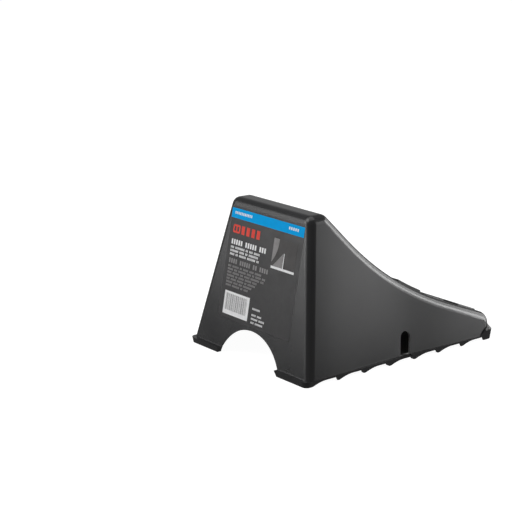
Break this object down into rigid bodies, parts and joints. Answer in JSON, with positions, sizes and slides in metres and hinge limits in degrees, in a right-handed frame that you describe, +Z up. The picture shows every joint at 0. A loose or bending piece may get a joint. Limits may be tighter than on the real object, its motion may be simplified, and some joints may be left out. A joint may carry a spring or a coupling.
{
  "type": "wheel chock",
  "caption": "Hollow tapered plastic wheel chock with a concave tyre ramp, toothed base flange, rear arch, side rope slots and a printed label on its tall rear wall.",
  "frame": {"origin": "middle of the footprint, on the surface the chock stands on", "axes": "+X from the tall rear wall towards the toe, +Z up, +Y to the left when looking towards the toe"},
  "size_m": [0.356, 0.249, 0.2125],
  "materials": {
    "shell_plastic": "fine-grained moulded polyethylene, satin",
    "label_film": "smooth dark label film",
    "ink_blue": "printed ink",
    "ink_brown": "printed ink",
    "ink_grey": "printed ink",
    "ink_red": "printed ink",
    "ink_white": "printed ink"
  },
  "bodies": {
    "root": {"chock_shell": "shell_plastic", "label_film": "label_film", "label_ink_blue": "ink_blue", "label_ink_brown": "ink_brown", "label_ink_grey": "ink_grey", "label_ink_red": "ink_red", "label_ink_white": "ink_white"}
  },
  "joints": []
}
